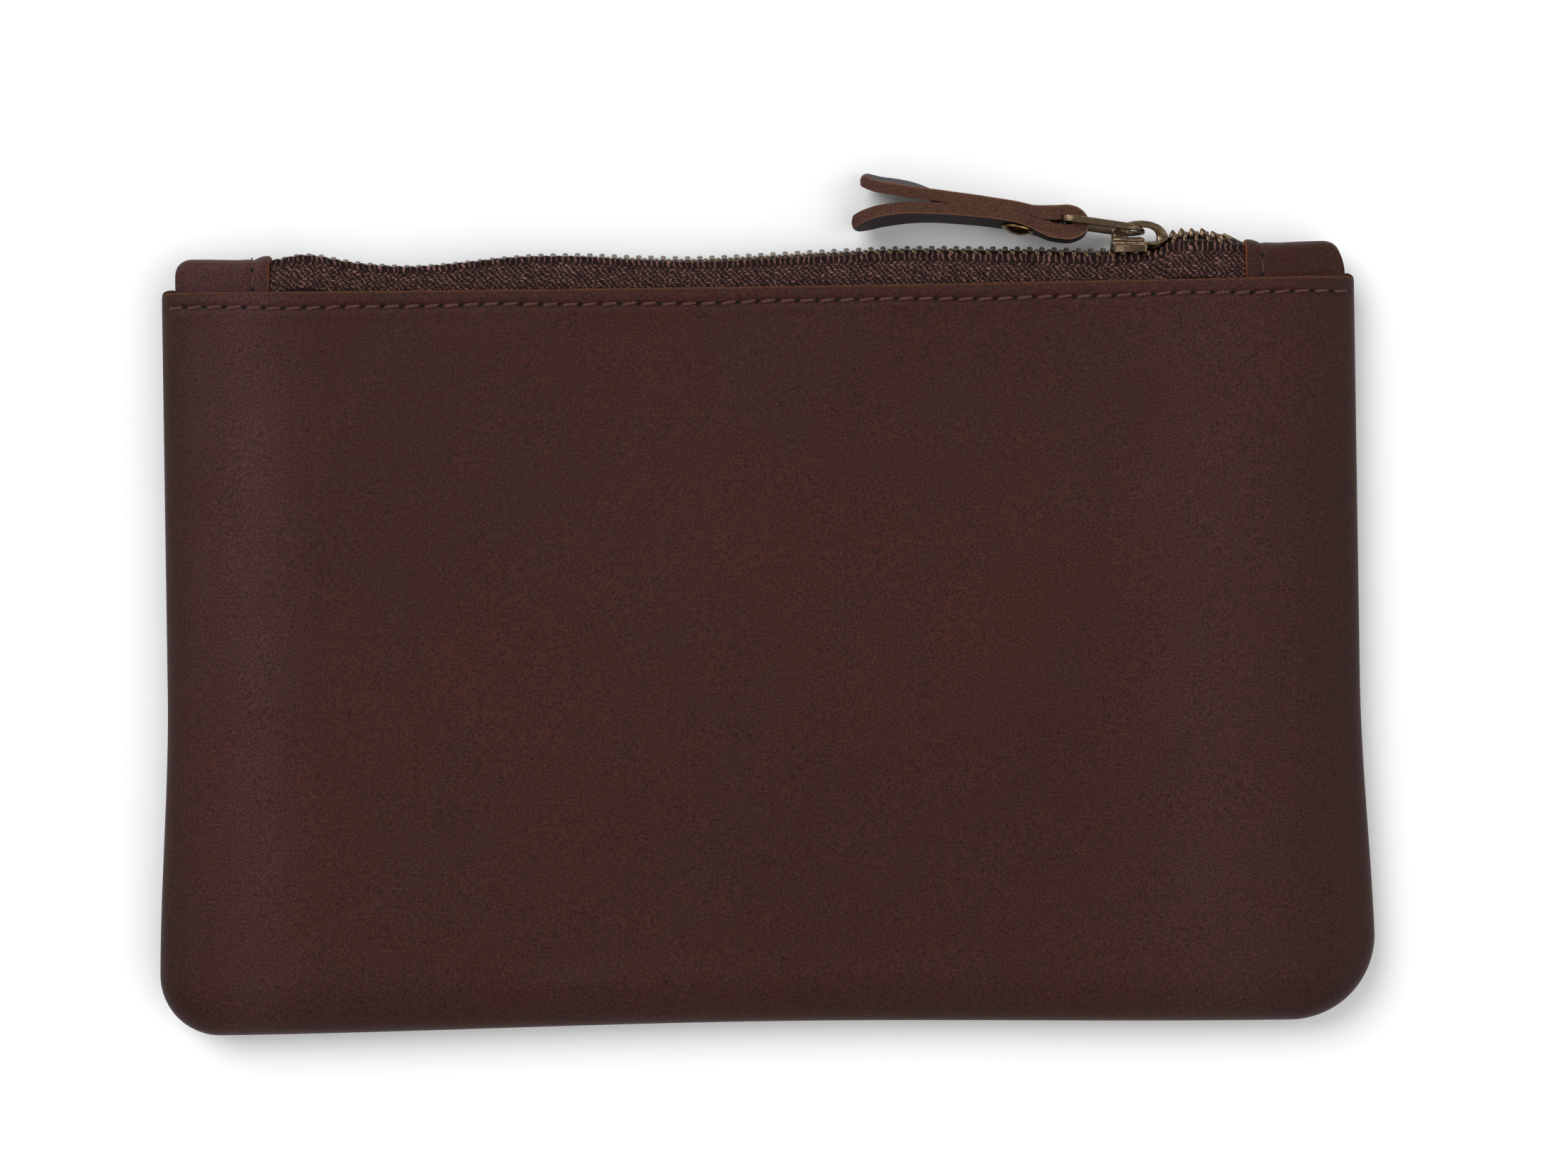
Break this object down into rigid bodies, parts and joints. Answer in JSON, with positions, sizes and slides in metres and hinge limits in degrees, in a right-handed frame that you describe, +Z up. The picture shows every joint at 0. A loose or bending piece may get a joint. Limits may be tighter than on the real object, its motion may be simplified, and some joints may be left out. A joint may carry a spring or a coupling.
{
  "type": "zippered pouch",
  "caption": "Flat rectangular leather pouch closed along its top edge by a metal zip with end tabs, a slider, a wire link and a riveted leather pull strap.",
  "frame": {"origin": "centre of the flat resting face of the back panel, on the floor the pouch lies on", "axes": "+X along the zip towards its closed end, +Y from the bottom seam to the zip, +Z up out of the front panel"},
  "size_m": [0.241, 0.1697, 0.0133],
  "materials": {
    "brown_leather": "waxed dark brown full grain leather",
    "strap_leather": "dark brown leather with raw cut edges",
    "zip_tape": "coarse woven dark brown zip tape",
    "antique_brass": "antique brass",
    "rivet_brass": "antique brass with a warm tint",
    "sewing_thread": "twisted mauve brown sewing thread"
  },
  "bodies": {
    "pouch_back": {"back_panel": "brown_leather", "back_tape": "zip_tape", "back_teeth": "antique_brass", "back_top_stop": "antique_brass", "bottom_stop": "antique_brass", "left_end_tab": "brown_leather", "right_end_tab": "brown_leather", "left_tab_stitches": "sewing_thread", "right_tab_stitches": "sewing_thread", "back_topstitch": "sewing_thread", "seam_bobbin_thread": "sewing_thread"},
    "pouch_front": {"front_panel": "brown_leather", "front_tape": "zip_tape", "front_teeth": "antique_brass", "front_top_stop": "antique_brass", "front_topstitch": "sewing_thread", "seam_needle_thread": "sewing_thread"},
    "slider": {"slider_body": "antique_brass", "slider_crown": "antique_brass"},
    "link": {"pull_link": "antique_brass"},
    "pull": {"pull_strap": "strap_leather", "rivet_cap": "rivet_brass", "rivet_post": "rivet_brass"}
  },
  "joints": [
    {"name": "mouth_opening", "type": "hinge", "parent": "pouch_back", "child": "pouch_front", "pos_m": [0, -0.074, 0.0059], "axis": [1, 0, 0], "range_deg": [0, 12], "deforming": ["front_tape", "front_teeth"]},
    {"name": "slider_travel", "type": "slide", "parent": "pouch_back", "child": "slider", "axis": [1, 0, 0], "range_m": [-0.16, 0.0115], "deforming": ["back_tape", "back_teeth"]},
    {"name": "link_swivel", "type": "hinge", "parent": "slider", "child": "link", "pos_m": [0.0746, 0.083, 0.0059], "axis": [0.0164, 0.1032, 0.9945], "range_deg": [-120, 2]},
    {"name": "strap_swivel", "type": "hinge", "parent": "link", "child": "pull", "pos_m": [0.0601, 0.0853, 0.0059], "axis": [0.0164, 0.1032, 0.9945], "range_deg": [-45, 2]}
  ],
  "couplings": [
    {"joint": "slider_travel", "follows": "mouth_opening", "m_per_rad": -0.7639}
  ]
}
